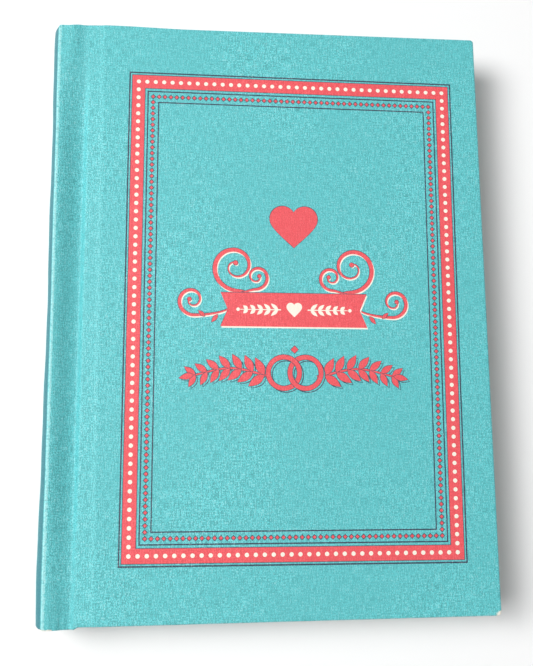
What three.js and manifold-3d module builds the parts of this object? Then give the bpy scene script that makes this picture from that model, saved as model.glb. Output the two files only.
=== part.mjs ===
// A case-bound wedding guest book, closed and lying on its back cover.
//
// Frame: millimetres. +X runs from the spine to the fore edge, +Y from tail to head, +Z up from
// the back cover to the front cover. The origin is the middle of the back cover's resting face.
// Inside this file x is measured from the spine's outer face, and the last group moves it.
//
// The book is a case (two boards, a spine strip and their covering) around a sewn text block:
// eight sections of four folded sheets, linked by stitches, backed with open gauze (mull) and a
// paper lining, with a band at head and tail. The covering, the mull and the endpapers cross the
// two cover joints, where they bend, so each of them is cut there into one piece per moving body.

import * as THREE from 'three';
import { mergeVertices } from 'three/addons/utils/BufferGeometryUtils.js';
import Module from 'manifold-3d';

// The closed book
const COVER_WIDTH = 152;
const COVER_HEIGHT = 204;
const THICKNESS = 19;

// The case
const COVERING = 0.35;
const BOARD = 2.6;
const SPINE_STRIP = 1.65;
const SPINE_RADIUS = 1.6;
const CORNER_RADIUS = 1.2;
const TURN_IN = 15;
const BOARD_EDGE = 10.6;
const GROOVE_DEPTH = 2;
const GROOVE_FROM = 2.9;
const GROOVE_TO = 10.3;
const GROOVE_STEPS = 14;

// The endpapers and the gauze
const PAPER = 0.15;
const MULL = 0.2;
const MULL_HEIGHT = 172;
const MULL_WING = 25;
const FLYLEAF_FROM = 9;

// The text block
const SQUARE = 3;
const SECTIONS = 8;
const SHEETS = 4;
const FOLD_X = 3.6;
const SECTION_GAP = 0.06;
const LEAF_GAP = 0.01;
const FOLD_HALF_THICKNESS = 0.09;
const FOLD_SLOPE = Math.tan(THREE.MathUtils.degToRad(2.45));
const FOLD_NEST = 0.12;
const FOLD_WALL = 0.1;

// The spine of the text block
const LINING_X = 2.5;
const LINING_HEIGHT = 197;
const STITCH_COUNT = 6;
const STITCH_SPREAD = 158;
const STITCH_WIDTH = 0.7;
const STITCH_BACK = 0.15;
const STITCH_BULGE = 0.3;
const STITCH_STEPS = 5;
const BAND_RADIUS = 0.85;
const BAND_TAPE = 10;
const BAND_STEPS = 20;

// Clearances between glued layers, and between pieces that move apart
const GLUE_GAP = 0.02;
const LOOSE_GAP = 0.05;

// Levels of one cover, counted inwards from its outer face
const boardOut = COVERING + GLUE_GAP;
const boardIn = boardOut + BOARD;
const turnInOut = boardIn + GLUE_GAP;
const turnInIn = turnInOut + COVERING;
const pastedownOut = turnInIn + GLUE_GAP;
const pastedownIn = pastedownOut + PAPER;
const flyleafOut = pastedownIn + LOOSE_GAP;
const flyleafIn = flyleafOut + PAPER;
const blockOut = flyleafIn + LOOSE_GAP;

const halfHeight = COVER_HEIGHT / 2;
const blockHalfHeight = halfHeight - SQUARE;
const blockForeEdge = COVER_WIDTH - SQUARE;
const blockThickness = THICKNESS - 2 * blockOut;
const sectionPitch = blockThickness / SECTIONS;
const sectionHalf = (sectionPitch - SECTION_GAP) / 2;
const taperLength = (sectionHalf - FOLD_HALF_THICKNESS) / FOLD_SLOPE;
const liningIn = LINING_X + PAPER;
const mullOut = liningIn + GLUE_GAP;
const mullIn = mullOut + MULL;
const stitchOut = mullIn + GLUE_GAP;

const wasm = await Module();
wasm.setup();

const looks = {
  covering: { color: 0x6fcfd4, roughness: 0.55, metalness: 0 },
  board: { color: 0x8f8b82, roughness: 0.9, metalness: 0 },
  endpaper: { color: 0xf3efe6, roughness: 0.85, metalness: 0 },
  page: { color: 0xf7f3ea, roughness: 0.88, metalness: 0 },
  mull: { color: 0xe8e2d0, roughness: 0.95, metalness: 0 },
  lining: { color: 0xb99a6d, roughness: 0.9, metalness: 0 },
  thread: { color: 0xf2ead6, roughness: 0.8, metalness: 0 },
  band: { color: 0xf6f1e4, roughness: 0.7, metalness: 0 },
};

const book = new THREE.Group();
book.position.x = -COVER_WIDTH / 2;

function piece(name, look, geometry) {
  const mesh = new THREE.Mesh(geometry, new THREE.MeshStandardMaterial(looks[look]));
  mesh.name = name;
  book.add(mesh);
}

// Solids and booleans

function toSolid(geometry) {
  const bare = geometry.clone();
  bare.deleteAttribute('normal');
  bare.deleteAttribute('uv');
  const merged = mergeVertices(bare, 1e-4);
  const vertProperties = new Float32Array(merged.attributes.position.array);
  const triVerts = new Uint32Array(merged.index.array);
  return new wasm.Manifold(new wasm.Mesh({ numProp: 3, vertProperties, triVerts }));
}

function toGeometry(solid) {
  const mesh = solid.getMesh();
  const geometry = new THREE.BufferGeometry();
  geometry.setAttribute('position', new THREE.BufferAttribute(new Float32Array(mesh.vertProperties), 3));
  geometry.setIndex(new THREE.BufferAttribute(new Uint32Array(mesh.triVerts), 1));
  geometry.computeVertexNormals();
  return geometry;
}

function cut(body, ...tools) {
  let solid = toSolid(body);
  for (const tool of tools) solid = solid.subtract(toSolid(tool));
  return toGeometry(solid);
}

function slab([x0, x1], [y0, y1], [z0, z1]) {
  const box = new THREE.BoxGeometry(x1 - x0, y1 - y0, z1 - z0);
  return box.translate((x0 + x1) / 2, (y0 + y1) / 2, (z0 + z1) / 2);
}

// An outline drawn in x and z, stretched along y to both sides of the middle.
function alongY(outline, halfLength) {
  const solid = new THREE.ExtrudeGeometry(outline, { depth: 2 * halfLength, bevelEnabled: false, curveSegments: 6 });
  return solid.rotateX(Math.PI / 2).translate(0, halfLength, 0);
}

function outlineOf(points) {
  return new THREE.Shape(points.map(([x, z]) => new THREE.Vector2(x, z)));
}

// The front half of the book mirrors the back half, layer by layer.
function level(side, low, high) {
  return side === 'back' ? [low, high] : [THICKNESS - high, THICKNESS - low];
}

// The two covers

function coverPlate(side, inset, low, high) {
  const x0 = BOARD_EDGE + inset;
  const x1 = COVER_WIDTH - inset;
  const y1 = halfHeight - inset;
  const radius = CORNER_RADIUS - inset;
  const outline = new THREE.Shape();
  outline.moveTo(x0, -y1);
  outline.lineTo(x1 - radius, -y1);
  outline.absarc(x1 - radius, -y1 + radius, radius, -Math.PI / 2, 0);
  outline.absarc(x1 - radius, y1 - radius, radius, 0, Math.PI / 2);
  outline.lineTo(x0, y1);
  const [z0, z1] = level(side, low, high);
  const plate = new THREE.ExtrudeGeometry(outline, { depth: z1 - z0, bevelEnabled: false, curveSegments: 5 });
  return plate.translate(0, 0, z0);
}

function coverWrap(side) {
  const outer = coverPlate(side, 0, 0, turnInIn);
  const boardPocket = coverPlate(side, COVERING, COVERING, turnInOut);
  const insideWindow = slab(
    [BOARD_EDGE - 1, COVER_WIDTH - TURN_IN],
    [TURN_IN - halfHeight, halfHeight - TURN_IN],
    level(side, boardIn - 1, turnInIn + 1),
  );
  return cut(outer, boardPocket, insideWindow);
}

function cover(side) {
  const wingFrom = BOARD_EDGE + 2 * COVERING;
  piece(`${side}_board`, 'board', coverPlate(side, boardOut, boardOut, boardIn));
  piece(`${side}_cover_wrap`, 'covering', coverWrap(side));
  piece(`mull_${side}_wing`, 'mull', slab(
    [wingFrom, wingFrom + MULL_WING],
    [-MULL_HEIGHT / 2, MULL_HEIGHT / 2],
    level(side, turnInOut, turnInOut + MULL),
  ));
  piece(`${side}_pastedown`, 'endpaper', slab(
    [wingFrom, blockForeEdge],
    [-blockHalfHeight, blockHalfHeight],
    level(side, pastedownOut, pastedownIn),
  ));
  piece(`${side}_flyleaf`, 'endpaper', slab(
    [FLYLEAF_FROM, blockForeEdge],
    [-blockHalfHeight, blockHalfHeight],
    level(side, flyleafOut, flyleafIn),
  ));
}

// The strip of covering that dips into the groove between the spine and a board.
function jointWrap(side) {
  const from = LINING_X;
  const to = BOARD_EDGE - LOOSE_GAP;
  const depthAt = (x) => {
    const along = THREE.MathUtils.clamp((x - GROOVE_FROM) / (GROOVE_TO - GROOVE_FROM), 0, 1);
    return GROOVE_DEPTH * (1 - Math.cos(Math.PI * along)) / 2;
  };
  const outer = [];
  const inner = [];
  for (let step = 0; step <= GROOVE_STEPS; step += 1) {
    const x = THREE.MathUtils.lerp(from, to, step / GROOVE_STEPS);
    const [low, high] = level(side, depthAt(x), depthAt(x) + COVERING);
    outer.push([x, low]);
    inner.unshift([x, high]);
  }
  return alongY(outlineOf([...outer, ...inner]), halfHeight - LOOSE_GAP);
}

// The spine strip and its covering

function spineOutline(inset, innerFace) {
  const radius = SPINE_RADIUS - inset;
  const low = inset;
  const high = THICKNESS - inset;
  const outline = new THREE.Shape();
  outline.moveTo(innerFace, low);
  outline.lineTo(innerFace, high);
  outline.lineTo(inset + radius, high);
  outline.absarc(inset + radius, high - radius, radius, Math.PI / 2, Math.PI);
  outline.absarc(inset + radius, low + radius, radius, Math.PI, 1.5 * Math.PI);
  return outline;
}

function spineCase() {
  const stripIn = boardOut + SPINE_STRIP;
  const pocketIn = stripIn + GLUE_GAP;
  const wrapIn = pocketIn + COVERING;
  const outer = alongY(spineOutline(0, wrapIn), halfHeight);
  const pocket = alongY(spineOutline(COVERING, pocketIn), halfHeight - COVERING);
  const insideWindow = slab(
    [stripIn - COVERING, LINING_X + 1],
    [TURN_IN - halfHeight, halfHeight - TURN_IN],
    [COVERING, THICKNESS - COVERING],
  );
  piece('spine_board', 'board', alongY(spineOutline(boardOut, stripIn), halfHeight - boardOut));
  piece('spine_wrap', 'covering', cut(outer, pocket, insideWindow));
}

// The spine of the text block: lining, gauze, stitches and bands

function linkStitch(y) {
  const low = blockOut + sectionHalf / 2;
  const high = THICKNESS - low;
  const steps = STITCH_STEPS * SECTIONS;
  const points = [[stitchOut, high], [stitchOut, low]];
  for (let step = 0; step <= steps; step += 1) {
    const z = THREE.MathUtils.lerp(low, high, step / steps);
    const bulge = Math.abs(Math.sin(Math.PI * (z - blockOut) / sectionPitch));
    points.push([stitchOut + STITCH_BACK + STITCH_BULGE * bulge, z]);
  }
  return alongY(outlineOf(points), STITCH_WIDTH / 2).translate(0, y, 0);
}

function endBand(end) {
  const edge = blockHalfHeight + 4 * LOOSE_GAP + BAND_RADIUS;
  const tapeFrom = blockHalfHeight - BAND_TAPE;
  const bead = new THREE.CylinderGeometry(BAND_RADIUS, BAND_RADIUS, blockThickness, BAND_STEPS);
  bead.rotateX(Math.PI / 2).translate(mullOut + BAND_RADIUS, end * edge, THICKNESS / 2);
  const tapeEnds = [end * tapeFrom, end * edge].sort((a, b) => a - b);
  const tape = slab([mullOut, mullIn], tapeEnds, [blockOut, THICKNESS - blockOut]);
  return toGeometry(toSolid(bead).add(toSolid(tape)));
}

function blockSpine() {
  const acrossSpine = [blockOut, THICKNESS - blockOut];
  const halfLining = LINING_HEIGHT / 2;
  piece('spine_lining', 'lining', slab([LINING_X, liningIn], [-halfLining, halfLining], acrossSpine));
  piece('mull_spine', 'mull', slab([mullOut, mullIn], [-MULL_HEIGHT / 2, MULL_HEIGHT / 2], acrossSpine));
  for (let station = 0; station < STITCH_COUNT; station += 1) {
    const y = STITCH_SPREAD * (station / (STITCH_COUNT - 1) - 0.5);
    piece(`link_stitch_${station + 1}`, 'thread', linkStitch(y));
  }
  piece('headband', 'band', endBand(1));
  piece('tailband', 'band', endBand(-1));
}

// One folded sheet, nested in its section. Depth 0 is the outermost sheet of the section. The
// section narrows towards its fold, which leaves room for the sections to fan.
function foldedSheet(depth, middle) {
  const reach = blockForeEdge - FOLD_X;
  const fold = depth * FOLD_NEST;
  const insideFold = fold + FOLD_WALL;
  const half = (r) => Math.min(sectionHalf, FOLD_HALF_THICKNESS + FOLD_SLOPE * r);
  const outside = (r) => half(r) * (1 - depth / SHEETS) - LEAF_GAP / 2;
  const inside = (r) => half(r) * (1 - (depth + 1) / SHEETS) + LEAF_GAP / 2;
  const upper = [
    [fold, outside(fold)],
    [taperLength, outside(taperLength)],
    [reach, outside(reach)],
    [reach, inside(reach)],
    [taperLength, inside(taperLength)],
    [insideFold, inside(insideFold)],
  ];
  const lower = upper.map(([r, z]) => [r, -z]).reverse();
  const placed = [...upper, ...lower].map(([r, z]) => [FOLD_X + r, middle + z]);
  return alongY(outlineOf(placed), blockHalfHeight);
}

// Section 1 is the first to be read, so it lies on top.
function textBlock() {
  for (let section = 1; section <= SECTIONS; section += 1) {
    const middle = THICKNESS - blockOut - sectionPitch * (section - 0.5);
    for (let depth = 0; depth < SHEETS; depth += 1) {
      piece(`section_${section}_sheet_${depth + 1}`, 'page', foldedSheet(depth, middle));
    }
  }
}

for (const side of ['back', 'front']) {
  cover(side);
  piece(`${side}_joint_wrap`, 'covering', jointWrap(side));
}
spineCase();
blockSpine();
textBlock();

export default book;
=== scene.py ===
"""A wedding guest book: a linen-embossed hardback with a printed border, a ribbon and sewn pages."""
import math
import random

import bpy
from mathutils import Matrix, Vector
from mathutils.geometry import delaunay_2d_cdt


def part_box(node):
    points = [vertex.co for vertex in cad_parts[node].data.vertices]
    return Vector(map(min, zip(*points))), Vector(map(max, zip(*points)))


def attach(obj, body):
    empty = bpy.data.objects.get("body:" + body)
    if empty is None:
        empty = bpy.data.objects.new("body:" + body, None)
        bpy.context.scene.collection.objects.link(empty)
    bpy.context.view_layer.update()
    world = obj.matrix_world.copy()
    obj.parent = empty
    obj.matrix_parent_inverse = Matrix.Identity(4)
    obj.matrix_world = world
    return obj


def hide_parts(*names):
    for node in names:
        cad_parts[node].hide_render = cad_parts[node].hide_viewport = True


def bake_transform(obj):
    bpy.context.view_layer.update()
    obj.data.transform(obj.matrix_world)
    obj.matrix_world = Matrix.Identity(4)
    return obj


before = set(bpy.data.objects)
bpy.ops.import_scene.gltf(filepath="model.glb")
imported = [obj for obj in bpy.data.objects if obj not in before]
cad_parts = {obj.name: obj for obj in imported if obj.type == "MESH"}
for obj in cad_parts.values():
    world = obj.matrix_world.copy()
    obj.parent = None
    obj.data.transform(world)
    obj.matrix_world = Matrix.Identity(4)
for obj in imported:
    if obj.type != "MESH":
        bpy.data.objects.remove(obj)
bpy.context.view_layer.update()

MM = 0.001

# ------------------------------------------------------------
# Sizes, in millimetres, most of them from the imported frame. x is measured from the spine's outer
# face, and depth inwards from the outer face of the cover that is being made.

def span(node, axis):
    """The low and high end of a CAD node along one axis, in millimetres."""
    low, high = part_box(node)
    return low[axis] / MM, high[axis] / MM


SPINE_FACE = span("spine_wrap", 0)[0]
WIDTH = span("front_cover_wrap", 0)[1] - SPINE_FACE
HALF_HEIGHT = span("front_cover_wrap", 1)[1]
THICKNESS = span("front_cover_wrap", 2)[1]
COVER_DEPTH = THICKNESS - span("front_cover_wrap", 2)[0]
BOARD_EDGE = span("front_cover_wrap", 0)[0] - SPINE_FACE
SPINE_DEPTH = span("spine_wrap", 0)[1] - SPINE_FACE
FOLD_X = span("section_1_sheet_1", 0)[0] - SPINE_FACE
PAGE_EDGE = span("section_1_sheet_1", 0)[1] - SPINE_FACE
PAGE_HALF = span("section_1_sheet_1", 1)[1]
PASTEDOWN_DEPTH = THICKNESS - span("front_pastedown", 2)[0]
FLYLEAF_DEPTH = THICKNESS - span("front_flyleaf", 2)[0]
GAUZE_END = span("mull_front_wing", 0)[1] - SPINE_FACE
GAUZE_HALF = span("mull_front_wing", 1)[1]

PAPER = 0.13
COVERING = 0.3
TURN_IN = 15.0
SHEETS = 4
SECTIONS = 8


def place(side, x, y, depth):
    """A point of the front or back half of the book, on the frame's axes, in millimetres."""
    z = THICKNESS - depth if side == "front" else depth
    return (x + SPINE_FACE, y, z)


def in_metres(point):
    return Vector(point) * MM


def mix(low, high, share):
    return low + (high - low) * share


def steps(low, high, count):
    """count + 1 even values from low to high."""
    return [mix(low, high, step / count) for step in range(count + 1)]


def smooth(share):
    share = min(1.0, max(0.0, share))
    return share * share * (3 - 2 * share)


# ------------------------------------------------------------
# Mesh building

class Builder:
    """Collects the welded points and the faces of one piece, in millimetres."""

    def __init__(self):
        self.points = []
        self.lookup = {}
        self.faces = []
        self.slots = []
        self.values = {}

    def point(self, position, **values):
        key = tuple(round(c, 4) for c in position)
        if key not in self.lookup:
            self.lookup[key] = len(self.points)
            self.points.append(position)
            for name, value in values.items():
                self.values.setdefault(name, {})[self.lookup[key]] = value
        return self.lookup[key]

    def face(self, corners, slot=0):
        ring = [c for i, c in enumerate(corners) if c != corners[i - 1]]
        if len(set(ring)) > 2:
            self.faces.append(ring)
            self.slots.append(slot)

    def strip(self, first, second, slot=0, closed=False):
        """Quads between two rows of points that have the same length."""
        count = len(first) if closed else len(first) - 1
        for i in range(count):
            j = (i + 1) % len(first)
            self.face([first[i], first[j], second[j], second[i]], slot)

    def build(self, name, materials):
        mesh = bpy.data.meshes.new(name)
        mesh.from_pydata([in_metres(p) for p in self.points], [], self.faces)
        for material in materials:
            mesh.materials.append(material)
        mesh.polygons.foreach_set("material_index", self.slots)
        rest = mesh.attributes.new("rest", "FLOAT_VECTOR", "POINT")
        for index, point in enumerate(self.points):
            rest.data[index].vector = in_metres(point)
        for key, table in self.values.items():
            wide = isinstance(next(iter(table.values())), tuple)
            kind = "FLOAT_VECTOR" if wide else "FLOAT"
            layer = mesh.attributes.new(key, kind, "POINT")
            for index, value in table.items():
                setattr(layer.data[index], "vector" if wide else "value", value)
        piece = bpy.data.objects.new(name, mesh)
        bpy.context.scene.collection.objects.link(piece)
        return piece


def set_smooth(piece, degrees):
    """Smooth shading, with edges sharper than the angle kept sharp."""
    mesh = piece.data
    mesh.polygons.foreach_set("use_smooth", [True] * len(mesh.polygons))
    mesh.set_sharp_from_angle(angle=math.radians(degrees))


def apply_modifiers(piece):
    """Keeps what the modifiers make as the piece's own mesh."""
    graph = bpy.context.evaluated_depsgraph_get()
    made = bpy.data.meshes.new_from_object(piece.evaluated_get(graph))
    old = piece.data
    piece.modifiers.clear()
    piece.data = made
    made.name = piece.name
    bpy.data.meshes.remove(old)


def thicken(piece, thickness):
    """Turns a sheet whose faces look outwards into a solid that grows inwards."""
    solid = piece.modifiers.new("thickness", "SOLIDIFY")
    solid.thickness = thickness * MM
    solid.offset = -1
    apply_modifiers(piece)


# ------------------------------------------------------------
# Materials

class Paint:
    """A material's node tree with short ways to add nodes to it."""

    def __init__(self, name):
        self.material = bpy.data.materials.new(name)
        self.material.use_nodes = True
        self.tree = self.material.node_tree
        self.shader = self.tree.nodes["Principled BSDF"]

    def node(self, kind, inputs=None, **settings):
        made = self.tree.nodes.new(kind)
        for key, value in settings.items():
            setattr(made, key, value)
        for key, value in (inputs or {}).items():
            self.feed(made.inputs[key], value)
        return made

    def feed(self, socket, value):
        if isinstance(value, bpy.types.NodeSocket):
            self.tree.links.new(value, socket)
        else:
            socket.default_value = value

    def attribute(self, name, output):
        return self.node("ShaderNodeAttribute", attribute_name=name).outputs[output]

    def position(self):
        return self.node("ShaderNodeTexCoord").outputs["Object"]

    def math(self, operation, a, b):
        return self.node("ShaderNodeMath", {0: a, 1: b}, operation=operation).outputs[0]

    def noise(self, vector, scale=1.0, detail=2.0, roughness=0.5):
        made = self.node("ShaderNodeTexNoise", {
            "Vector": vector, "Scale": scale, "Detail": detail, "Roughness": roughness})
        return made.outputs["Fac"]

    def stretched(self, vector, scale, shift=(0, 0, 0)):
        made = self.node("ShaderNodeMapping", {"Vector": vector, "Scale": scale, "Location": shift})
        return made.outputs[0]

    def blend(self, share, low, high):
        """A colour between two colours. Inputs 6 and 7 are the Mix node's colour sockets."""
        made = self.node("ShaderNodeMix", data_type="RGBA")
        self.feed(made.inputs[0], share)
        self.feed(made.inputs[6], low)
        self.feed(made.inputs[7], high)
        return made.outputs[2]

    def ramp(self, value, low, high, to_low=0.0, to_high=1.0):
        made = self.node("ShaderNodeMapRange", {
            0: value, 1: low, 2: high, 3: to_low, 4: to_high}, interpolation_type="SMOOTHSTEP")
        return made.outputs[0]

    def bump(self, height, strength, distance):
        made = self.node("ShaderNodeBump", {
            "Height": height, "Strength": strength, "Distance": distance * MM})
        self.feed(self.shader.inputs["Normal"], made.outputs[0])

    def finish(self, **inputs):
        for key, value in inputs.items():
            self.feed(self.shader.inputs[key.replace("_", " ")], value)
        return self.material


def colour(red, green, blue):
    """An sRGB colour, 0 to 255, as the linear colour that a shader takes."""
    def linear(value):
        value = value / 255
        return value / 12.92 if value <= 0.04045 else ((value + 0.055) / 1.055) ** 2.4
    return (linear(red), linear(green), linear(blue), 1.0)


def shade(base, factor):
    return tuple(c * factor for c in base[:3]) + (1.0,)


def per_mm(x, y, z=0.0):
    """A texture scale given in repeats per millimetre."""
    return (x / MM, y / MM, z / MM)


LINEN_GRAINS = (
    ((4.9, 1.8), (0, 0, 0), 1.45),
    ((3.6, 0.32), (5, 0, 0), 0.85),
    ((0.34, 3.8), (0, 5, 0), 0.5),
    ((1.4, 0.07), (9, 0, 0), 0.12),
    ((0.07, 1.4), (0, 9, 0), 0.08),
)


def linen_height(paint, sheet):
    """Height of the pressed linen grain: short flecks, longer threads both ways, and a few slubs."""
    height = 0.0
    for scale, shift, weight in LINEN_GRAINS:
        grain = paint.noise(paint.stretched(sheet, per_mm(*scale), shift), detail=1.0)
        height = paint.math("ADD", height, paint.math("MULTIPLY", grain, weight / 3.0))
    return height


def linen_material(name, base, grain_light_and_shade):
    """Embossed covering paper. The third argument is how far the painted highlight on the grain's tops and
    the painted shade in its hollows change the colour.
    """
    paint = Paint(name)
    sheet = paint.attribute("sheet", "Vector")
    rest = paint.attribute("rest", "Vector")
    height = linen_height(paint, sheet)
    cloud = paint.noise(paint.stretched(rest, per_mm(0.03, 0.03, 0.03)), detail=3.0)
    tone = paint.ramp(height, 0.42, 0.57)
    # Painted shade in the grain's hollows and painted highlight on its tops
    grain = paint.blend(tone, shade(base, 1 - grain_light_and_shade), shade(base, 1 + 1.1 * grain_light_and_shade))
    pale = tuple(mix(c, 0.85, 0.45) for c in base[:3]) + (1.0,)
    # Painted glints: the grain's highest tops are paled towards white, as sheen
    with_glints = paint.blend(paint.ramp(height, 0.54, 0.62, 0.0, 2.0 * grain_light_and_shade), grain, pale)
    clouded = paint.blend(paint.ramp(cloud, 0.3, 0.7, 0.0, 0.5), with_glints, shade(base, 0.94))
    # Painted shade: a dark bluish colour laid over the spine's leaning side and the bottom of the joint
    painted_shade_colour = (base[0] * 0.14, base[1] * 0.28, base[2] * 0.34, 1.0)
    with_painted_shade = paint.blend(paint.attribute("grime", "Fac"), clouded, painted_shade_colour)
    rub_noise = paint.noise(paint.stretched(rest, per_mm(0.9, 0.9, 0.9)), detail=5.0, roughness=0.65)
    # A painted highlight on the joint's crest and real rubbing at the edges pale the colour
    rub_and_highlight_mask = paint.math("MULTIPLY", paint.attribute("wear", "Fac"), rub_noise)
    with_highlight_and_wear = paint.blend(paint.ramp(rub_and_highlight_mask, 0.34, 0.66, 0.0, 0.5), with_painted_shade, colour(186, 236, 236))
    chip = paint.math("ADD", paint.attribute("chip", "Fac"), paint.math("MULTIPLY", rub_noise, 0.35))
    bare = paint.ramp(chip, 0.78, 0.9)
    final = paint.blend(bare, with_highlight_and_wear, colour(236, 230, 218))
    paint.bump(height, 1.0, 0.26)
    sheen = paint.ramp(height, 0.35, 0.65, 0.58, 0.42)
    return paint.finish(
        Base_Color=final, Roughness=paint.math("ADD", sheen, paint.math("MULTIPLY", bare, 0.4)),
        Specular_IOR_Level=0.4, Coat_Weight=0.06, Coat_Roughness=0.4)


def paper_material(name, base, speckle=0.03):
    paint = Paint(name)
    rest = paint.attribute("rest", "Vector")
    fibre = paint.noise(paint.stretched(rest, per_mm(1.6, 1.1, 1.4)), detail=4.0, roughness=0.7)
    cloud = paint.noise(paint.stretched(rest, per_mm(0.05, 0.05, 0.05)), detail=2.0)
    speckled = (shade(base, 1 - speckle), shade(base, 1 + speckle / 2))
    tint = paint.blend(paint.ramp(fibre, 0.3, 0.7), *speckled)
    aged = paint.blend(paint.ramp(cloud, 0.35, 0.7, 0.0, 0.35), tint, shade(base, 0.95))
    leaf = paint.attribute("leaf", "Fac")
    final = paint.blend(paint.math("MULTIPLY", leaf, 0.5), aged, shade(base, 0.84))
    paint.bump(fibre, 0.16, 0.05)
    return paint.finish(Base_Color=final, Roughness=paint.ramp(fibre, 0.2, 0.8, 0.78, 0.92))


def fibre_material(name, scale, dark, light, strength, distance, roughness):
    """Pressed fibre, as in grey board or kraft paper."""
    paint = Paint(name)
    fibre = paint.noise(paint.stretched(paint.position(), per_mm(*scale)), detail=5.0, roughness=0.7)
    paint.bump(fibre, strength, distance)
    colours = paint.blend(paint.ramp(fibre, 0.3, 0.7), dark, light)
    return paint.finish(Base_Color=colours, Roughness=roughness)


def wave(paint, repeats_per_mm, distortion, direction):
    made = paint.node(
        "ShaderNodeTexWave",
        {"Vector": paint.position(), "Scale": repeats_per_mm / MM, "Distortion": distortion},
        bands_direction=direction)
    return made.outputs["Fac"]


def gauze_material():
    paint = Paint("mull_gauze")
    thread = paint.math("MAXIMUM", wave(paint, 0.32, 1.2, "Y"), wave(paint, 0.32, 1.2, "DIAGONAL"))
    paint.bump(thread, 0.8, 0.15)
    woven = paint.blend(thread, colour(150, 142, 122), colour(236, 229, 208))
    return paint.finish(Base_Color=woven, Roughness=0.95)


def thread_material(name, base):
    paint = Paint(name)
    twist = wave(paint, 0.6, 2.0, "DIAGONAL")
    paint.bump(twist, 0.5, 0.08)
    return paint.finish(Base_Color=paint.blend(twist, shade(base, 0.8), shade(base, 1.05)), Roughness=0.78)


TURQUOISE = colour(90, 188, 192)
CORAL = colour(231, 85, 92)
SLATE = colour(50, 66, 84)
CREAM = colour(243, 237, 222)
IVORY = colour(240, 235, 224)

INKS = ("turquoise", "coral", "slate", "cream")
linen_materials = [
    linen_material("linen_turquoise", TURQUOISE, 0.36),
    linen_material("linen_ink_coral", CORAL, 0.14),
    linen_material("linen_ink_slate", SLATE, 0.3),
    linen_material("linen_ink_cream", CREAM, 0.05),
]
endpaper_material = paper_material("endpaper", colour(238, 234, 225))
BOARD_GREY = colour(150, 146, 138)
board_core_material = fibre_material(
    "grey_board", (0.9, 0.9, 5.0), shade(BOARD_GREY, 0.8), shade(BOARD_GREY, 1.15), 0.4, 0.15, 0.93)
page_material = paper_material("page_paper", IVORY)

# ------------------------------------------------------------
# Printed artwork: plain outlines in millimetres about the middle of the border, painted in order

BORDER_WIDTH = 115.5
BORDER_HEIGHT = 169.3
BORDER_STRETCH = 1.07
BORDER_MIDDLE = (84.0, 0.4)
BORDER_TILT = math.radians(-0.45)


class Artwork:
    """A list of inked outlines. A later outline covers the earlier ones."""

    def __init__(self):
        self.shapes = []

    def add(self, ink, outline):
        area = sum(a[0] * b[1] - b[0] * a[1] for a, b in zip(outline, outline[1:] + outline[:1]))
        ordered = outline if area > 0 else outline[::-1]
        self.shapes.append((INKS.index(ink), ordered))

    def both_sides(self, ink, outline):
        self.add(ink, outline)
        self.add(ink, mirrored(outline))


def inset_corner(inset):
    """The corner of the border, moved inwards. The bands are a little wider at the top and bottom."""
    return BORDER_WIDTH / 2 - inset, BORDER_HEIGHT / 2 - inset * BORDER_STRETCH


def rectangle(inset):
    x, y = inset_corner(inset)
    return [(-x, -y), (x, -y), (x, y), (-x, y)]


def disc(x, y, radius, points=14):
    angles = steps(0, 2 * math.pi, points)[:-1]
    return [(x + radius * math.cos(a), y + radius * math.sin(a)) for a in angles]


def diamond(x, y, half):
    return [(x - half, y), (x, y - half), (x + half, y), (x, y + half)]


def heart(x, y, width, height):
    """Two round lobes and two sides that run almost straight down to the tip."""
    lobe = width * 0.27
    centre_x = width / 2 - lobe
    centre_y = y + height / 2 - lobe
    notch = math.acos(centre_x / lobe)
    angles = steps(math.pi - notch, -0.12, 14)
    right = [(centre_x + lobe * math.cos(a), centre_y + lobe * math.sin(a)) for a in angles]
    tip = (0.0, y - height / 2)
    right += hermite(right[-1], (0.0, -0.55 * height), tip, (-0.55 * width, -0.6 * height), 8)[1:]
    return [(x + a, b) for a, b in right] + [(x - a, b) for a, b in reversed(right[1:-1])]


def leaf(x, y, angle, length, width, points=7):
    """An almond that starts at (x, y) and points along the angle."""
    outline = []
    for side, order in ((1, range(points + 1)), (-1, range(points - 1, 0, -1))):
        for step in order:
            along = step / points
            across = side * width / 2 * math.sin(math.pi * along ** 0.85)
            forward = along * length
            outline.append((
                x + forward * math.cos(angle) - across * math.sin(angle),
                y + forward * math.sin(angle) + across * math.cos(angle),
            ))
    return outline


def shifted(outline, dx, dy):
    return [(x + dx, y + dy) for x, y in outline]


def hermite(start, leave, end, arrive, count=12):
    """Points on a smooth curve with the given end points and end directions."""
    points = []
    for t in steps(0, 1, count):
        weights = (2 * t**3 - 3 * t**2 + 1, t**3 - 2 * t**2 + t, 3 * t**2 - 2 * t**3, t**3 - t**2)
        points.append(tuple(
            weights[0] * start[k] + weights[1] * leave[k] + weights[2] * end[k] + weights[3] * arrive[k]
            for k in range(2)
        ))
    return points


def scroll(eye, radius, inner_radius, turns, way=1, count=44):
    """A spiral that starts below its eye and winds inwards. way is 1 for anticlockwise."""
    points = []
    for t in steps(0, 1, count):
        angle = -math.pi / 2 + way * t * turns * 2 * math.pi
        r = mix(radius, inner_radius, t ** 0.9)
        points.append((eye[0] + r * math.cos(angle), eye[1] + r * math.sin(angle)))
    return points


def stroke(path, width_at, extra=0.0):
    """The outline of a pen stroke along the path, with width_at(share) as its width."""
    left = []
    right = []
    for i, (x, y) in enumerate(path):
        before = path[max(0, i - 1)]
        after = path[min(len(path) - 1, i + 1)]
        dx, dy = after[0] - before[0], after[1] - before[1]
        length = math.hypot(dx, dy)
        half = width_at(i / (len(path) - 1)) / 2 + extra
        left.append((x - dy / length * half, y + dx / length * half))
        right.append((x + dy / length * half, y - dx / length * half))
    return left + right[::-1]


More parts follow.
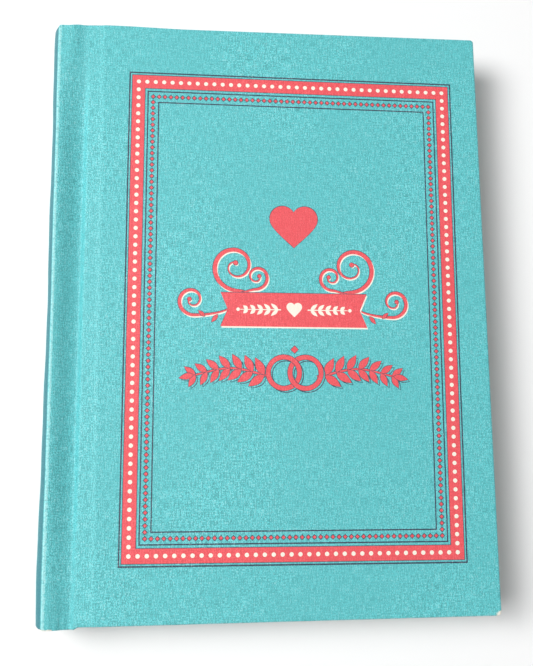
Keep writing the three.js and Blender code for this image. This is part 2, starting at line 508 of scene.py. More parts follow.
def mirrored(points):
    return [(-x, y) for x, y in points]


OUTLINE = 0.19
HAIRLINE = 0.42
HIGHLIGHT = (0.28, -0.42)
SHADOW = (0.75, -0.7)
SHADOW_LINE = 0.32


def border(art):
    bands = (
        ("slate", -0.03), ("turquoise", 0.46), ("slate", 0.9), ("coral", 1.1), ("slate", 5.5),
        ("turquoise", 5.7), ("slate", 6.4), ("turquoise", 6.84), ("slate", 10.15), ("turquoise", 10.57))
    for ink, inset in bands:
        art.add(ink, rectangle(inset))
    for x, y in along_rectangle(3.3, 2.95):
        art.add("cream", disc(x, y, 0.73))
    for x, y in along_rectangle(8.4, 2.06):
        art.add("slate", diamond(x, y, 0.99))
        art.add("coral", diamond(x, y, 0.64))


def along_rectangle(inset, pitch):
    """Evenly spaced points round a rectangle, with one in each corner."""
    x, y = inset_corner(inset)
    across = steps(-x, x, round(2 * x / pitch))
    up = steps(-y, y, round(2 * y / pitch))[1:-1]
    return [(a, s * y) for a in across for s in (-1, 1)] + [(s * x, b) for b in up for s in (-1, 1)]


def flourish_paths():
    """The three scrolls on the right of the ribbon, and how wide the pen presses in each."""
    tall = hermite((13.0, 5.4), (5, 1.2), (20.2, 6.7), (7, 0))[:-1]
    tall += scroll((20.2, 15.2), 8.5, 1.3, 1.5)
    short = hermite((20.0, 5.4), (-4, 0.8), (12.9, 7.3), (-5, 0))[:-1]
    short += scroll((12.9, 11.7), 4.4, 0.9, 1.3, -1)
    low = hermite((22.4, 0.6), (6, -5.5), (34.6, -1.9), (8, 0.4))[:-1]
    low += scroll((34.9, 3.3), 5.2, 1.0, 1.3)
    return ((tall, 1.45), (short, 1.0), (low, 1.15))


def swelling(widest):
    """A pen stroke that swells in the first half of its run and thins to its end."""
    return lambda share: mix(HAIRLINE, widest, math.sin(math.pi * min(1, share * 1.25) ** 0.9) ** 1.5)


def flourishes(art):
    for path, widest in flourish_paths():
        for points in (path, mirrored(path)):
            width_at = swelling(widest)
            end = points[-1]
            ball = 0.34 * widest + 0.28
            art.add("slate", stroke(points, width_at, OUTLINE))
            art.add("cream", shifted(stroke(points, width_at), *HIGHLIGHT))
            art.add("cream", shifted(disc(*end, ball), *HIGHLIGHT))
            art.add("slate", disc(*end, ball + OUTLINE))
            art.add("coral", stroke(points, width_at))
            art.add("coral", disc(*end, ball))
    for small in (leaf(26.2, -1.6, -0.9, 3.4, 1.3), leaf(30.6, -2.3, 0.75, 3.0, 1.2)):
        art.both_sides("slate", shrunk(small, -OUTLINE))
        art.both_sides("coral", small)


def ribbon(art):
    x, notch, top, bottom = 25.3, 22.8, 6.1, -5.6
    level = (top + bottom) / 2
    outline = [(-x, bottom), (x, bottom), (notch, level), (x, top), (-x, top), (-notch, level)]
    art.add("cream", shifted(outline, 0.3, -0.5))
    art.add("slate", shifted(outline, -0.05, OUTLINE))
    art.add("coral", outline)
    middle = 0.3
    art.add("cream", heart(0, middle, 5.4, 5.0))
    art.both_sides("cream", stroke([(4.6, middle), (18.6, middle)], lambda share: 0.42 - 0.2 * share))
    for step, x in enumerate(steps(5.6, 16.0, 4)):
        size = 3.3 - 0.3 * step
        for turn in (0.72, -0.72):
            art.both_sides("cream", leaf(x, middle, turn, size, 1.25))
    art.both_sides("cream", disc(19.3, middle, 0.62))


def sprig_leaves():
    """Place, angle, length and width of each leaf of the right-hand sprig under the ribbon."""
    leaves = []
    pairs = 7
    for step in range(pairs):
        share = step / (pairs - 1)
        x, y = sprig_stem(share)
        length = mix(6.6, 4.6, share)
        for turn in (0.86, -0.86):
            leaves.append((x, y, sprig_angle(share) + turn, length, length * 0.42))
    x, y = sprig_stem(1.0)
    leaves.append((x + 0.6, y, sprig_angle(1.0), 5.0, 2.0))
    return leaves


def sprig_stem(share):
    return (mix(10.4, 33.6, share), -21.4 + 1.5 * math.sin(math.pi * 1.35 * share - 0.5))


def sprig_angle(share):
    (x0, y0), (x1, y1) = sprig_stem(share - 0.01), sprig_stem(share + 0.01)
    return math.atan2(y1 - y0, x1 - x0)


def sprigs(art):
    stem = [sprig_stem(share) for share in steps(-0.12, 1.05, 16)]
    leaves = [leaf(*each) for each in sprig_leaves()]
    leaves += [mirrored(outline) for outline in leaves]
    for outline in leaves:
        art.add("slate", shifted(outline, *SHADOW))
    for outline in leaves:
        art.add("turquoise", shrunk(shifted(outline, *SHADOW), SHADOW_LINE))
    art.both_sides("slate", stroke(stem, lambda share: 0.75 - 0.3 * share, OUTLINE))
    art.both_sides("coral", stroke(stem, lambda share: 0.75 - 0.3 * share))
    for outline in leaves:
        art.add("slate", shrunk(outline, -OUTLINE))
        art.add("coral", outline)


RING_X = 3.7
RING_Y = -21.3
RING_OUTER = 6.1
RING_INNER = 4.55


def rings(art):
    """Two linked rings. The last arc lays the left ring back over the right one at their top crossing."""
    for side in (-1, 1):
        x, y = side * RING_X + SHADOW[0], RING_Y + SHADOW[1]
        art.add("slate", ring_part(x, y, 0.0, 0.0, 2.0))
        art.add("turquoise", ring_part(x, y, -SHADOW_LINE, 0.0, 2.0))
    for side, start, end in ((-1, 0.0, 2.0), (1, 0.0, 2.0), (-1, 0.05, 0.62)):
        art.add("slate", ring_part(side * RING_X, RING_Y, OUTLINE, start, end))
        art.add("coral", ring_part(side * RING_X, RING_Y, 0.0, start, end))
    art.add("slate", diamond(0, -13.4, 1.5))
    art.add("coral", diamond(0, -13.4, 1.28))


def ring_part(x, y, extra, start, end, points=44):
    """A ring's band between two angles, in half turns. A full turn keeps a hairline where it closes."""
    hairline = 1e-4 if end - start == 2.0 else 0.0
    angles = steps(start * math.pi + hairline, end * math.pi - hairline, points)
    outer = RING_OUTER + extra
    inner = RING_INNER - extra
    there = [(x + outer * math.cos(a), y + outer * math.sin(a)) for a in angles]
    back = [(x + inner * math.cos(a), y + inner * math.sin(a)) for a in reversed(angles)]
    return there + back


def shrunk(outline, by):
    """The outline drawn closer to its middle by about the given distance."""
    middle_x = sum(x for x, _ in outline) / len(outline)
    middle_y = sum(y for _, y in outline) / len(outline)
    moved = []
    for x, y in outline:
        dx, dy = x - middle_x, y - middle_y
        keep = 1 - by / math.hypot(dx, dy)
        moved.append((middle_x + dx * keep, middle_y + dy * keep))
    return moved


def cover_artwork():
    art = Artwork()
    border(art)
    for ink, extra in (("slate", 2 * OUTLINE), ("coral", 0.0)):
        art.add(ink, heart(0, 29.6, 16.8 + extra, 14.9 + extra))
    flourishes(art)
    ribbon(art)
    sprigs(art)
    rings(art)
    cos, sin = math.cos(BORDER_TILT), math.sin(BORDER_TILT)

    def on_cover(x, y):
        return BORDER_MIDDLE[0] + x * cos - y * sin, BORDER_MIDDLE[1] + x * sin + y * cos

    return [(ink, [on_cover(x, y) for x, y in outline]) for ink, outline in art.shapes]


# ------------------------------------------------------------
# The covering of half the case: spine, joint, panel, edges and turn-ins, as one sheet

EDGE_ROUND = 0.55
CORNER = 1.2
SIDE_LEAN = 2.0
SIDE_FROM = 4.6
SIDE_POWER = 1.6
CREST_DEPTH = 0.25
CREST_ANGLE = math.atan(SIDE_POWER * SIDE_LEAN / (SIDE_FROM - CREST_DEPTH))
CREST_RADIUS = CREST_DEPTH / (1 - math.sin(CREST_ANGLE))
CREST_X = SIDE_LEAN + CREST_RADIUS * math.cos(CREST_ANGLE)
CREST_FOLD = 0.9
GROOVE_DEPTH = 2.3
GROOVE_AT_HEAD = 0.65
GROOVE_AT_TAIL = 1.45
GROOVE_RISE = 2.1
BOARD_FACE = 13.4
CREASE = (16.5, 18.3)
PANEL_START = 18.6
FOLDED_JOINT = 0.8
OVER_EDGE = 3.0
COVERING_BEND = (2.0, 9.0)

ROWS = steps(-(HALF_HEIGHT - CORNER), HALF_HEIGHT - CORNER, 60)
PANEL_END = WIDTH - CORNER
PANEL_COLUMNS = steps(PANEL_START, PANEL_END, 34)


def dip(x):
    """How far the board's face is pressed in: a slope next to the joint, then a crease."""
    slope = max(0.0, (CREASE[1] - x) / (CREASE[1] - BOARD_FACE))
    return 0.3 * slope + 0.15 * (1 - smooth((x - CREASE[0]) / (CREASE[1] - CREASE[0])))


def side_x(depth):
    """Where the spine's side lies. It leans in towards the crest that borders the joint."""
    share = min(1.0, max(0.0, (SIDE_FROM - depth) / (SIDE_FROM - CREST_DEPTH)))
    return SIDE_LEAN * share ** SIDE_POWER


def joint_depth(y):
    """Depth of the pressed joint at its lowest. It grows shallow towards the head and the tail."""
    if y > 0:
        return mix(GROOVE_DEPTH, GROOVE_AT_HEAD, smooth((y - 52) / 44))
    return mix(GROOVE_DEPTH, GROOVE_AT_TAIL, smooth((-y - 55) / 35))


def joint_start(y):
    """Where the joint begins to fall away from the spine's crest. It is narrow at the head."""
    return mix(CREST_X, 7.0 if y > 0 else 3.6, smooth((abs(y) - 76) / 24))


def joint_bottom(y):
    """Where the joint is at its lowest. It runs a little further from the spine towards the head."""
    return 10.8 + 0.4 * y / HALF_HEIGHT


def groove(x, y):
    return joint_depth(y) * smooth((x - joint_start(y)) / (joint_bottom(y) - joint_start(y)))


def crimp(x, y):
    """Small wrinkles where the covering is folded in at the tail of the joint, and one light dent."""
    across = smooth((x - 3) / 3) * (1 - smooth((x - 12) / 3))
    at_tail = math.exp(-(((y + HALF_HEIGHT) / 4.0) ** 2)) * across
    dent = math.exp(-(((x - 3.0) / 1.1) ** 2) - ((y + 81) / 2.2) ** 2)
    return 0.1 * at_tail * math.sin(2.6 * x + 0.4) + 0.12 * dent


def joint_columns(y):
    """Matching points of the sheet's outer line and of its folded inner line, as x and depth."""
    inner_x = SPINE_DEPTH
    columns = []
    for depth in steps(THICKNESS / 2, SIDE_FROM, 4)[:-1] + steps(SIDE_FROM, CREST_DEPTH, 9):
        columns.append(((side_x(depth), depth), (inner_x, max(depth, CREST_FOLD))))
    for angle in steps(CREST_ANGLE, math.pi / 2, 5)[1:]:
        x = CREST_X - CREST_RADIUS * math.cos(angle)
        depth = CREST_RADIUS * (1 - math.sin(angle))
        columns.append(((x, depth), (inner_x + 0.04 * len(columns) - 0.5, CREST_FOLD)))
    bottom = joint_bottom(y)
    for x in steps(CREST_X, bottom, 22)[1:]:
        depth = groove(x, y) + crimp(x, y)
        columns.append(((x, depth), (max(x, inner_x) + 0.2, depth + FOLDED_JOINT)))
    top = bottom + GROOVE_RISE
    for share in steps(0, 1, 10)[1:]:
        x = mix(bottom, top, share)
        depth = mix(joint_depth(y), dip(top), smooth(share)) + crimp(x, y)
        inner = (mix(bottom + 0.2, top, share), mix(joint_depth(y) + FOLDED_JOINT, COVER_DEPTH, share))
        columns.append(((x, depth), inner))
    for x in steps(top, CREASE[0], 5)[1:] + steps(CREASE[0], PANEL_START, 7)[1:]:
        columns.append(((x, dip(x) + crimp(x, y)), (x, COVER_DEPTH)))
    return columns


def rim_steps(thickness):
    """How the sheet goes over an edge: outward reach, share of the way in, and rubbing."""
    edge = min(EDGE_ROUND, 0.45 * thickness)
    flat = CORNER - edge
    over = [(0.0, 0.0, 0.0), (flat * 0.6, 0.0, 0.2), (flat, 0.0, 0.55)]
    for angle in steps(0, math.pi / 2, 4)[1:]:
        over.append((flat + edge * math.sin(angle), edge * (1 - math.cos(angle)) / thickness, 0.85))
    over.append((CORNER, 0.5, 0.3))
    for angle in steps(0, math.pi / 2, 4)[:-1]:
        over.append((flat + edge * math.cos(angle), 1 - edge * (1 - math.sin(angle)) / thickness, 0.7))
    return over + [(flat, 1.0, 0.4), (0.0, 1.0, 0.1), (CORNER - TURN_IN, 1.0, 0.0)]


def perimeter():
    """Stations round the board's three free edges: middle of the bend, outward way, and mitre way."""
    edge_y = ROWS[-1]
    stations = [((x, edge_y), (0, 1), (0, 1)) for x in PANEL_COLUMNS]
    for angle in steps(math.pi / 2, 0, 5)[1:-1]:
        stations.append(((PANEL_END, edge_y), (math.cos(angle), math.sin(angle)), (1, 1)))
    stations += [((PANEL_END, y), (1, 0), (1, 0)) for y in reversed(ROWS)]
    for angle in steps(0, -math.pi / 2, 5)[1:-1]:
        stations.append(((PANEL_END, -edge_y), (math.cos(angle), math.sin(angle)), (1, -1)))
    stations += [((x, -edge_y), (0, -1), (0, -1)) for x in reversed(PANEL_COLUMNS)]
    return stations


def plan_point(middle, outward, mitre, reach):
    """Where a station lies in plan. Inside the board the corner stations follow the mitre."""
    if reach >= 0:
        return middle[0] + outward[0] * reach, middle[1] + outward[1] * reach
    x = min(middle[0] + mitre[0] * reach, PANEL_END + reach)
    y = middle[1] + mitre[1] * reach
    limit = ROWS[-1] + reach
    return x, max(-limit, min(limit, y))


SPINE_CORNER = 1.8
TAIL_FLARE = 0.75
TAIL_SLIP = 0.75
HEAD_RISE = (0.35, 0.85)


def soften(x, y):
    """The outline, uneven from use: the spine wavers, flares and slips at the tail, and the head edge
    rises.
    """
    past = max(0.0, abs(y) - (HALF_HEIGHT - SPINE_CORNER))
    pull = SPINE_CORNER - math.sqrt(max(0.0, SPINE_CORNER**2 - min(past, SPINE_CORNER) ** 2))
    waver = 0.12 * (1 + math.sin(y * 0.11 + 1.3)) + 0.05 * math.sin(y * 0.31)
    flare = TAIL_FLARE * smooth((-y - 5) / 75)
    on_spine = max(0.0, 1 - x / 3.2)
    up_spine = smooth((y + HALF_HEIGHT) / (2 * HALF_HEIGHT))
    slip = mix(TAIL_SLIP, 0.0, up_spine) * smooth((BOARD_FACE - x) / 1.6)
    near_joint = smooth((x - 5) / 5) * (1 - smooth((x - 22) / 26))
    rise = mix(*HEAD_RISE, near_joint) * smooth((y - 88) / 12)
    return x + (pull * 0.9 + waver - flare) * on_spine, y - slip + rise


def crest_wear(x, depth):
    """Painted highlight along the crest that borders the joint, with some rubbing. It fades down both of
    its sides.
    """
    away = math.hypot(x - CREST_X, depth)
    return 1.2 * (1 - smooth((away - 0.3) / 0.8))


def grime(x, depth):
    """Painted shade on the spine's leaning side, and a little at the bottom of the joint, where shade
    falls.
    """
    if x > CREST_X:
        return 0.09 * smooth((x - 8) / 3) * (1 - smooth((x - 11.8) / 1.2))
    on_side = smooth((depth - 0.12) / 0.3)
    return 0.85 * on_side * (1 - 0.8 * smooth((depth - 2.2) / 4.0))


class CaseHalf:
    """Builds the covering of the front or back half of the case."""

    def __init__(self, side):
        self.side = side
        self.builder = Builder()
        self.arc = [0.0]
        columns = joint_columns(0)
        for (a, _), (b, _) in zip(columns, columns[1:]):
            self.arc.append(self.arc[-1] + math.dist(a, b))
        self.panel_arc = self.arc[-1]

    def put(self, x, y, depth, sheet, wear):
        position = place(self.side, *soften(x, y), depth)
        flat = (sheet[0] * MM, sheet[1] * MM, 0.0)
        return self.builder.point(
            position, sheet=flat, wear=wear, chip=self.chipped(x, y, depth), grime=grime(x, depth))

    def chipped(self, x, y, depth):
        """How near a point is to the places where the covering has been scuffed through."""
        corner = math.dist((x, y, depth), (WIDTH - 0.2, -HALF_HEIGHT + 0.2, 0.1))
        tail = math.hypot(max(0.0, x - 5.0), y + HALF_HEIGHT) + max(0.0, depth - 1.5)
        other = math.dist((x, y, depth), (WIDTH, HALF_HEIGHT, 0.3))
        near = max(1 - corner / 4.6, 0.85 - tail / 2.4, 0.72 - other / 2.2)
        return max(0.0, near)

    def column_point(self, index, line, reach, share, y, wear):
        (ox, od), (ix, idepth) = line[index]
        x, depth = mix(ox, ix, share), mix(od, idepth, share)
        outward = math.copysign(1, y)
        sheet = (self.arc[index], y + outward * (reach + share * OVER_EDGE))
        return self.put(x, y + outward * reach, depth, sheet, wear)

    def joint(self):
        # The crest's values are a painted highlight, with some rubbing
        highlight_and_rub = [crest_wear(*outer) for outer, _ in joint_columns(0)]
        grid = []
        for y in ROWS:
            line = joint_columns(y)
            grid.append([self.column_point(i, line, 0, 0, y, highlight_and_rub[i]) for i in range(len(line))])
        for first, second in zip(grid, grid[1:]):
            self.quads(second, first)
        for y in (ROWS[0], ROWS[-1]):
            line = joint_columns(y)
            ends = []
            for i, (outer, inner) in enumerate(line):
                over = rim_steps(math.dist(outer, inner))
                ends.append([
                    self.column_point(i, line, reach, share, y, max(highlight_and_rub[i], rub))
                    for reach, share, rub in over
                ])
            for first, second in zip(ends, ends[1:]):
                self.quads(*((first, second) if y > 0 else (second, first)))

    def quads(self, first, second):
        """Quads that look outwards when the second row lies clockwise of the first."""
        if self.side == "front":
            self.builder.strip(second, first)
        else:
            self.builder.strip(first, second)

    def board_rim(self):
        over = rim_steps(COVER_DEPTH - dip(PANEL_START))
        lines = []
        for middle, outward, mitre in perimeter():
            line = []
            for reach, share, rub in over:
                x, y = plan_point(middle, outward, mitre, reach)
                depth = mix(dip(PANEL_START), COVER_DEPTH, share)
                down = share * OVER_EDGE
                sheet = (self.sheet_x(x) + outward[0] * down, y + outward[1] * down)
                line.append(self.put(x, y, depth, sheet, rub))
            lines.append(line)
        for first, second in zip(lines, lines[1:]):
            self.quads(first, second)

    def sheet_x(self, x):
        return self.panel_arc + x - PANEL_START

    def panel(self, artwork):
        """The flat face. Ink outlines are cut into it, and each triangle takes the last ink over it."""
        top, bottom = ROWS[-1], ROWS[0]
        edge = [(x, bottom) for x in PANEL_COLUMNS] + [(PANEL_END, y) for y in ROWS[1:]]
        edge += [(x, top) for x in reversed(PANEL_COLUMNS[:-1])]
        edge += [(PANEL_START, y) for y in reversed(ROWS[1:-1])]
        points = list(edge)
        loops = [list(range(len(edge)))]
        for _, outline in artwork:
            loops.append(list(range(len(points), len(points) + len(outline))))
            points += outline
        if not artwork:
            points += [(x, y) for x in PANEL_COLUMNS[1:-1] for y in ROWS[1:-1]]
        flat, _, triangles, _, _, sources = delaunay_2d_cdt(
            [Vector(p) for p in points], [], loops, 1, 1e-5, True)
        inks = [0] + [ink for ink, _ in artwork]
        corner = [self.put(p.x, p.y, dip(PANEL_START), (self.sheet_x(p.x), p.y), 0.0) for p in flat]
        for triangle, source in zip(triangles, sources):
            ring = [corner[i] for i in triangle]
            if self.side == "back":
                ring.reverse()
            self.builder.face(ring, inks[max(source)] if source else 0)


def turn_with(piece, side, body, start, end):
    """Keeps the sheet's placement as its own mesh. The side, the body and the two distances are not used.
    """
    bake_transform(piece)


def case_covering(side, artwork):
    half = CaseHalf(side)
    half.joint()
    half.board_rim()
    half.panel(artwork)
    piece = half.builder.build(f"{side}_case_covering", linen_materials)
    thicken(piece, COVERING)
    set_smooth(piece, 35)
    turn_with(piece, side, "cover", *COVERING_BEND)
    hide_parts(f"{side}_cover_wrap", f"{side}_joint_wrap", "spine_wrap")


# ------------------------------------------------------------
# Endpapers

PASTEDOWN_BEND = 8.0
FLYLEAF_BEND = 13.0

def pastedown_depth(x, y):
    """Level of the pastedown's glued face, which steps up over the turn-ins and the gauze wing."""
    to_edge = min(WIDTH - x, HALF_HEIGHT - abs(y))
    over_turn_in = 1 - smooth((to_edge - TURN_IN + 1.2) / 1.6)
    wing = (1 - smooth((x - GAUZE_END) / 1.4)) * (1 - smooth((abs(y) - GAUZE_HALF) / 1.2))
    over_board = COVER_DEPTH - 0.34 + 0.22 * wing
    level = mix(over_board, COVER_DEPTH + 0.02, over_turn_in)
    return mix(PASTEDOWN_DEPTH - PAPER, level, smooth((x - BOARD_EDGE + 0.6) / 1.8))


def near_steps(low, high, marks, coarse):
    """Values from low to high, with extra ones close to each mark."""
    values = set(steps(low, high, coarse))
    for mark in marks:
        values.update(mark + offset for offset in (-1.0, -0.5, 0.0, 0.5, 1.0))
    return sorted(v for v in values if low <= v <= high)


def slab(name, side, xs, shares, half_at, near_at, far_at, material):
    """A closed sheet or board over a grid. near_at and far_at give its two faces as depths."""
    builder = Builder()
    outer, inner = [], []
    for x in xs:
        ys = [share * half_at(x) for share in shares]
        for rows, face_at in ((outer, near_at), (inner, far_at)):
            rows.append([builder.point(place(side, x, y, face_at(x, y)), leaf=0.0) for y in ys])
    for first, second in zip(outer, outer[1:]):
        builder.strip(second, first)
    for first, second in zip(inner, inner[1:]):
        builder.strip(first, second)
    builder.strip(outer[0], inner[0])
    builder.strip(inner[-1], outer[-1])
    builder.strip([r[0] for r in inner], [r[0] for r in outer])
    builder.strip([r[-1] for r in outer], [r[-1] for r in inner])
    if side == "back":
        builder.faces = [face[::-1] for face in builder.faces]
    piece = builder.build(name, [material])
    set_smooth(piece, 40)
    return piece


BOARD_INSET = 0.5


def cover_board(side):
    """The grey board of one cover, pressed in next to the joint and round at its outer corners."""
    end = WIDTH - BOARD_INSET
    radius = 1.0
    arc = [end - radius * (1 - math.sin(a)) for a in steps(0, math.pi / 2, 5)]
    xs = steps(BOARD_FACE + 0.1, CREASE[1], 12) + steps(CREASE[1], arc[0], 6)[1:] + arc[1:]

    def half_at(x):
        past = max(0.0, x - arc[0])
        return HALF_HEIGHT - BOARD_INSET - radius + math.sqrt(max(0.0, radius**2 - past**2))

    piece = slab(
        f"{side}_cover_board", side, xs, steps(-1, 1, 8), half_at,
        lambda x, y: dip(x) + COVERING + 0.05, lambda x, y: COVER_DEPTH - COVERING - 0.1,
        board_core_material)
    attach(piece, f"{side}_cover")
    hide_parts(f"{side}_board")


def spine_strip():
    """The stiff strip of the spine, with eased edges and corners."""
    gap = COVERING + 0.08
    back_x = SPINE_DEPTH - 0.42
    corner = [(side_x(depth) + gap, depth) for depth in steps(0.8, SIDE_FROM, 7)]
    profile = [(back_x, 0.8)] + corner
    profile += [(x, THICKNESS - depth) for x, depth in reversed(profile)]
    builder = Builder()
    end = HALF_HEIGHT - 0.6
    ys = [-y for y in steps(end, end - 3, 6)] + steps(-end + 10, end - 10, 8) + steps(end - 3, end, 6)
    rings = []
    for y in ys:
        rings.append([builder.point(place("front", *soften(x, y), depth)) for x, depth in profile])
    for first, second in zip(rings, rings[1:]):
        builder.strip(first, second, closed=True)
    builder.face(rings[0])
    builder.face(rings[-1][::-1])
    piece = builder.build("spine_strip", [board_core_material])
    set_smooth(piece, 40)
    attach(piece, "spine")
    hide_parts("spine_board")


def endpapers(side):
    """The pastedown on the board's inside, and the flyleaf that lies on the first page."""
    fold = FOLD_X - 0.2
    ends = (GAUZE_HALF + 0.6, HALF_HEIGHT - TURN_IN + 0.4)
    marks = [way * end for end in ends for way in (-1, 1)]
    rows = [y / PAGE_HALF for y in near_steps(-PAGE_HALF, PAGE_HALF, marks, 12)]
    columns = near_steps(fold, PAGE_EDGE, (BOARD_EDGE, GAUZE_END + 0.7, WIDTH - TURN_IN), 24)
    columns = sorted(set(columns + steps(fold, BOARD_EDGE, 14)))
    pastedown = slab(
        f"{side}_pastedown_paper", side, columns, rows, lambda x: PAGE_HALF, pastedown_depth,
        lambda x, y: pastedown_depth(x, y) + PAPER, endpaper_material)
    turn_with(pastedown, side, "cover", FOLD_X, PASTEDOWN_BEND)
    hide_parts(f"{side}_pastedown")
    turning = steps(fold, FOLD_X + FLYLEAF_BEND, 20)
    flat = steps(FOLD_X + FLYLEAF_BEND, PAGE_EDGE, 6)[1:]
    flyleaf = slab(
        f"{side}_flyleaf_paper", side, turning + flat, steps(-1, 1, 4), lambda x: PAGE_HALF,
        lambda x, y: FLYLEAF_DEPTH - PAPER, lambda x, y: FLYLEAF_DEPTH, endpaper_material)
    turn_with(flyleaf, side, "flyleaf", FOLD_X, FOLD_X + FLYLEAF_BEND)
    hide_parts(f"{side}_flyleaf")


# ------------------------------------------------------------
# Pages

SECTION_LOW, SECTION_HIGH = span("section_1_sheet_1", 2)
LEAF_PITCH = (SECTION_HIGH - SECTION_LOW) / (2 * SHEETS)


def bend_length(number):
    """How far from the fold a section's points lie close together. The middle ones reach further."""
    from_cover = min(number, SECTIONS + 1 - number)
    return FLYLEAF_BEND + 2.0 * from_cover


def sheet_line(depth, reach, bent):
    """One folded sheet seen from its end, as matching outer and inner lines about the fold."""
    level = (SHEETS - depth - 0.5) * LEAF_PITCH
    nose = 0.15 + 0.26 * depth
    curve_end = nose + 0.35 + level
    xs = steps(curve_end, bent, 18) + steps(bent, reach, 5)[1:]
    flat = [(x, level) for x in reversed(xs)]
    bend = []
    for angle in steps(math.pi / 2, -math.pi / 2, 12)[1:-1]:
        bend.append((curve_end - (curve_end - nose) * math.cos(angle), level * math.sin(angle)))
    middle = flat + bend + [(x, -level) for x, _ in reversed(flat)]
    outer = []
    inner = []
    for i, (x, z) in enumerate(middle):
        before = middle[max(0, i - 1)]
        after = middle[min(len(middle) - 1, i + 1)]
        dx, dz = after[0] - before[0], after[1] - before[1]
        length = math.hypot(dx, dz)
        offset = (dz / length * PAPER / 2, -dx / length * PAPER / 2)
        outer.append((x + offset[0], z + offset[1]))
        inner.append((x - offset[0], z - offset[1]))
    return outer, inner


def section(number):
    name = f"section_{number}"
    middle = sum(span(f"{name}_sheet_1", 2)) / 2
    builder = Builder()
    for depth in range(SHEETS):
        tone = random.random()
        trim = random.uniform(-0.05, 0.05)
        outer, inner = sheet_line(depth, PAGE_EDGE - FOLD_X + trim, bend_length(number))
        ring = outer + inner[::-1]
        ends = [
            [builder.point((FOLD_X + x + SPINE_FACE, y, middle + z), leaf=tone) for x, z in ring]
            for y in (-PAGE_HALF, PAGE_HALF)
        ]
        builder.strip(ends[0], ends[1], closed=True)
        count = len(outer)
        for end, order in ((ends[0], 1), (ends[1], -1)):
            for i in range(count - 1):
                corners = [end[i], end[2 * count - 1 - i], end[2 * count - 2 - i], end[i + 1]]
                builder.face(corners[::order])
    piece = builder.build(f"{name}_leaves", [page_material])
    set_smooth(piece, 40)
    end = in_metres((FOLD_X + bend_length(number) + SPINE_FACE, 0, middle))
    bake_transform(piece)
    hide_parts(*[f"{name}_sheet_{depth + 1}" for depth in range(SHEETS)])


# ------------------------------------------------------------
# Bands at head and tail

band_thread = thread_material("band_thread", colour(244, 238, 224))
band_thread_accent = thread_material("band_thread_accent", colour(240, 120, 124))


def end_band(name, end):
    """A corded band: a bead wound with thread of two colours. end is 1 at the head, -1 at the tail."""
    low, high = span(name, 2)
    x_low, x_high = span(name, 0)
    radius = (x_high - x_low) / 2 - 0.1
    centre_x = (x_low + x_high) / 2
    outer_y = span(name, 1)[1 if end > 0 else 0]
    centre_y = outer_y - end * radius
    builder = Builder()
    wraps = 22
    around = 14
    rings = []
    for step, z in enumerate(steps(low, high, wraps * 4)):
        swell = 0.84 + 0.16 * abs(math.sin(math.pi * step / 4))
        r = radius * swell * min(1.0, 0.55 + 0.45 * min(step, wraps * 4 - step) / 3)
        rings.append([builder.point((x, y, z)) for x, y in disc(centre_x, centre_y, r, around)])
    for index, (first, second) in enumerate(zip(rings, rings[1:])):
        builder.strip(first, second, 1 if (index // 4) % 2 else 0, closed=True)
    builder.face(rings[0][::-1])
    builder.face(rings[-1])
    piece = builder.build(f"{name}_cord", [band_thread, band_thread_accent])
    set_smooth(piece, 50)
    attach(piece, "spine")
    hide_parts(name)


# ------------------------------------------------------------
# Everything put together

random.seed(7)

case_covering("front", cover_artwork())
case_covering("back", [])
spine_strip()
for side in ("front", "back"):
    cover_board(side)
    endpapers(side)
for number in range(1, SECTIONS + 1):
    section(number)
end_band("headband", 1)
end_band("tailband", -1)


def repaint(material, *nodes):
    for name in nodes:
        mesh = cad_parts[name].data
        mesh.materials.clear()
        mesh.materials.append(material)


repaint(gauze_material(), "mull_spine", "mull_front_wing", "mull_back_wing")
kraft = fibre_material(
    "kraft_paper", (0.8, 2.0, 2.0), colour(168, 132, 88), colour(198, 164, 118), 0.25, 0.06, 0.88)
repaint(kraft, "spine_lining")
repaint(thread_material("sewing_thread", colour(242, 234, 214)), *[f"link_stitch_{n}" for n in range(1, 7)])

# ------------------------------------------------------------
# Stage, light and camera

def floor():
    paint = Paint("pale_floor")
    soft = paint.noise(paint.position(), scale=3.0)
    tint = paint.blend(soft, (0.86, 0.86, 0.86, 1), (0.9, 0.9, 0.9, 1))
    material = paint.finish(Base_Color=tint, Roughness=0.95, Specular_IOR_Level=0.1)
    bpy.ops.mesh.primitive_plane_add(size=6, location=(0, 0, -0.05 * MM))
    plane = bpy.context.object
    plane.name = "floor"
    plane.data.materials.append(material)


def light(name, kind, location, **settings):
    """A light at the location that shines towards the origin."""
    data = bpy.data.lights.new(name, kind)
    for key, value in settings.items():
        setattr(data, key, value)
    holder = bpy.data.objects.new(name, data)
    holder.location = location
    holder.rotation_euler = (-Vector(location)).to_track_quat("-Z", "Y").to_euler()
    bpy.context.scene.collection.objects.link(holder)


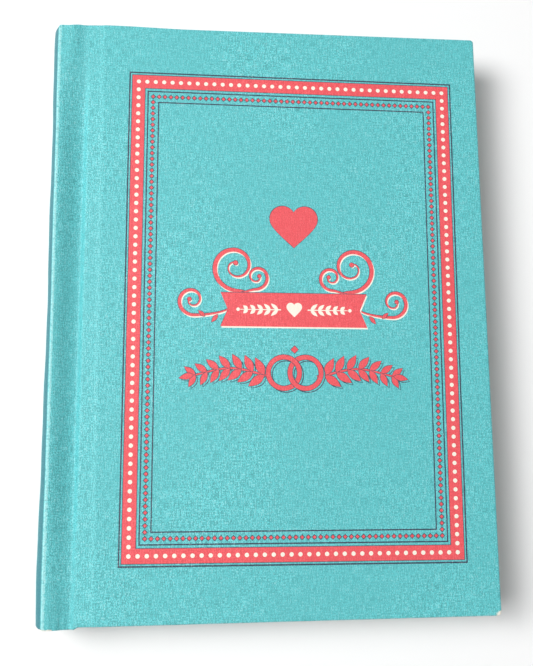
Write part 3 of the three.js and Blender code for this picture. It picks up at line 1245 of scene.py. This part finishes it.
def studio_world():
    """Light that grows from the horizon to the zenith. The camera sees it as an even pale wall."""
    world = bpy.data.worlds.new("studio")
    world.use_nodes = True
    tree = world.node_tree
    background = tree.nodes["Background"]
    direction = tree.nodes.new("ShaderNodeSeparateXYZ")
    rise = tree.nodes.new("ShaderNodeMapRange")
    seen = tree.nodes.new("ShaderNodeLightPath")
    strength = tree.nodes.new("ShaderNodeMix")  # inputs 2 and 3 are its two values
    for key, value in (("From Min", -0.1), ("From Max", 0.9), ("To Min", 0.2), ("To Max", 0.4)):
        rise.inputs[key].default_value = value
    strength.inputs[3].default_value = 0.9
    tree.links.new(tree.nodes.new("ShaderNodeTexCoord").outputs["Generated"], direction.inputs[0])
    tree.links.new(direction.outputs["Z"], rise.inputs["Value"])
    tree.links.new(seen.outputs["Is Camera Ray"], strength.inputs[0])
    tree.links.new(rise.outputs[0], strength.inputs[2])
    tree.links.new(strength.outputs[0], background.inputs["Strength"])
    background.inputs["Color"].default_value = (1, 1, 1, 1)
    bpy.context.scene.world = world


def camera():
    """Held over the book, a little towards the spine and the tail, as a phone is held."""
    data = bpy.data.cameras.new("camera")
    data.lens = 44.3
    data.sensor_width = 36
    eye = Vector((-0.0275, -0.0485, 0.2937))
    aim = Vector((-0.00166, -0.00731, THICKNESS * MM))
    roll = math.radians(0.57)
    looking = (aim - eye).normalized()
    right = looking.cross(Vector((0, 1, 0))).normalized()
    up = right.cross(looking)
    rolled_right = right * math.cos(roll) - up * math.sin(roll)
    rolled_up = up * math.cos(roll) + right * math.sin(roll)
    turned = Matrix((rolled_right, rolled_up, -looking)).transposed().to_4x4()
    holder = bpy.data.objects.new("camera", data)
    holder.matrix_world = Matrix.Translation(eye) @ turned
    bpy.context.scene.collection.objects.link(holder)
    bpy.context.scene.camera = holder


floor()
studio_world()
# A broad even light from the left, as from a large window, and a smaller lamp that fades across the cover
light("window", "SUN", (-0.62, 0.08, 0.76), energy=2.0, angle=math.radians(34))
light("lamp", "AREA", (-0.55, 0.16, 0.62), energy=3.4, shape="DISK", size=0.4)
camera()
bpy.context.scene.view_settings.view_transform = "Standard"
